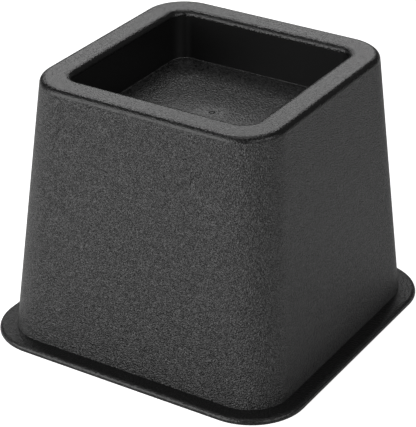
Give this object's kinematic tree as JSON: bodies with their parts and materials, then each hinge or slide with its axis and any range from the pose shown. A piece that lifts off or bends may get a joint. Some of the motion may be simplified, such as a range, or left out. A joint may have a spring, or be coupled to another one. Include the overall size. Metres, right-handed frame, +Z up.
{
  "type": "bed riser",
  "caption": "Tapered square bed riser with a flat rim, a shallow cup for a bed leg or castor, a flanged foot and an open ribbed underside.",
  "frame": {"origin": "middle of the foot, on the floor", "axes": "+Z up along the axis of symmetry, X and Y square to the walls"},
  "size_m": [0.1664, 0.1664, 0.133],
  "materials": {
    "black_plastic": "black polypropylene, fine moulded grain on the wall and the cup floor, smooth satin rim and cup wall"
  },
  "bodies": {
    "root": {"riser": "black_plastic"}
  },
  "joints": []
}
